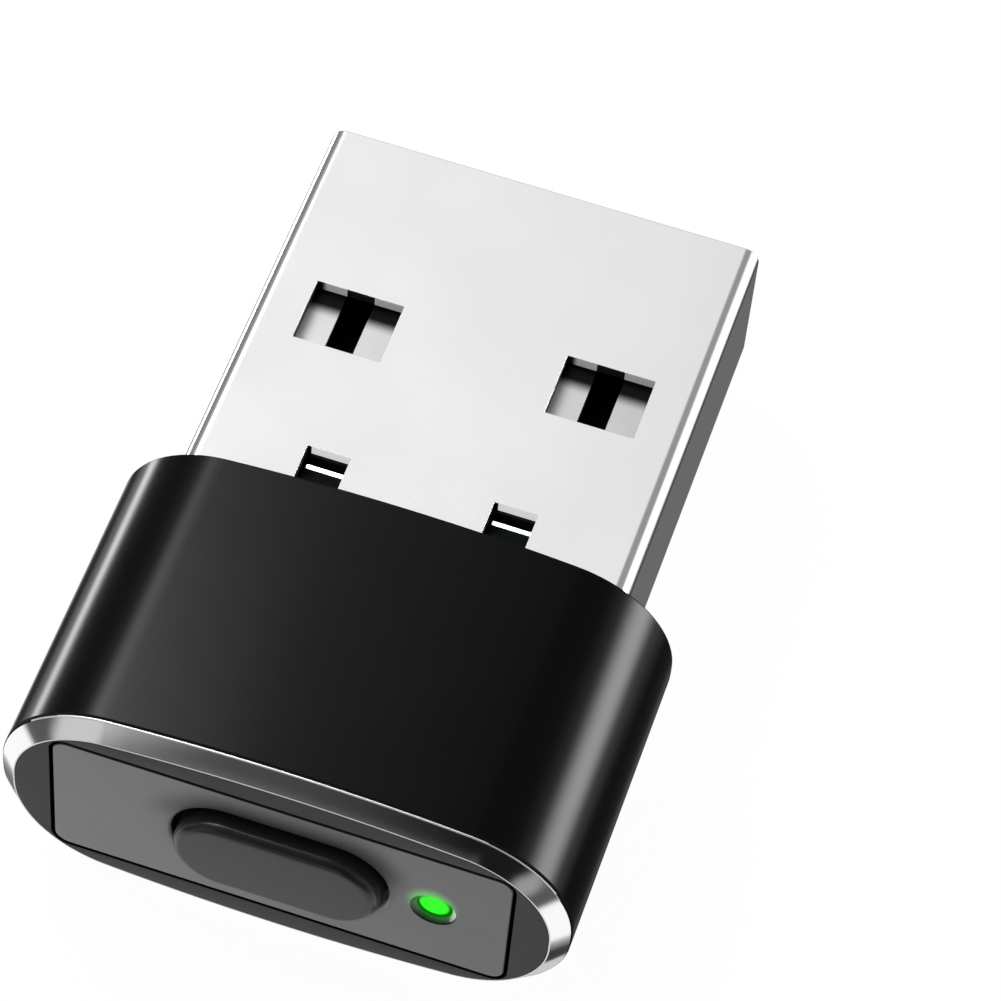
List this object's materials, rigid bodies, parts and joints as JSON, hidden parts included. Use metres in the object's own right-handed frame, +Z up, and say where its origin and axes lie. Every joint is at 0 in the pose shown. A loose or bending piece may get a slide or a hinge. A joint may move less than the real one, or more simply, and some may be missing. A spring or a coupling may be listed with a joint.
{
  "type": "mouse jiggler",
  "caption": "Small plug-in mouse jiggler: a standard type A plug on a short black metal sleeve, with a push button and a green lamp in its end face.",
  "frame": {"origin": "middle of the plug where it leaves the sleeve's end wall", "axes": "+Y out of the plug's mouth, +X across the plug, +Z up, away from the side with the shell's seam"},
  "size_m": [0.0148, 0.0214, 0.007],
  "materials": {
    "anodised_black": "glossy black anodised, with a bright diamond-cut chamfer at the button end",
    "dark_plastic": "fine matt, dark grey",
    "grey_plate": "fine matt, mid grey",
    "button_black": "satin face, glossy sides",
    "lamp_green": "clear plastic, lit green",
    "plug_steel": "smooth bright steel",
    "light_plastic": "moulded, off-white",
    "contact_gold": "gold-plated",
    "board_green": "dark green solder mask",
    "chip_black": "moulded resin",
    "ceramic_tan": "ceramic"
  },
  "bodies": {
    "case": {"sleeve": "anodised_black", "end_frame": "dark_plastic", "face_plate": "grey_plate", "light_pipe": "lamp_green", "plug_shell": "plug_steel", "plug_insulator": "light_plastic", "contact_spacer": "dark_plastic", "contact_power": "contact_gold", "contact_data_minus": "contact_gold", "contact_data_plus": "contact_gold", "contact_ground": "contact_gold", "circuit_board": "board_green", "switch_housing": "dark_plastic", "switch_cover": "plug_steel", "switch_dome": "plug_steel", "switch_terminals": "plug_steel", "controller_chip": "chip_black", "crystal_can": "plug_steel", "voltage_regulator": "chip_black", "lamp_diode": "light_plastic", "capacitors": "ceramic_tan", "resistors": "chip_black", "lower_carrier": "dark_plastic", "upper_carrier": "dark_plastic"},
    "button": {"button_cap": "button_black"},
    "plunger": {"switch_plunger": "dark_plastic"}
  },
  "joints": [
    {"name": "button_press", "type": "slide", "parent": "case", "child": "button", "axis": [0, 1, 0], "range_m": [0, 0.00025], "stiffness_N_per_m": 2000, "springref_m": -0.0004},
    {"name": "plunger_travel", "type": "slide", "parent": "case", "child": "plunger", "axis": [0, 1, 0], "range_m": [0, 0.00025], "deforming": ["switch_dome"]}
  ],
  "couplings": [
    {"joint": "plunger_travel", "follows": "button_press", "ratio": 1}
  ]
}
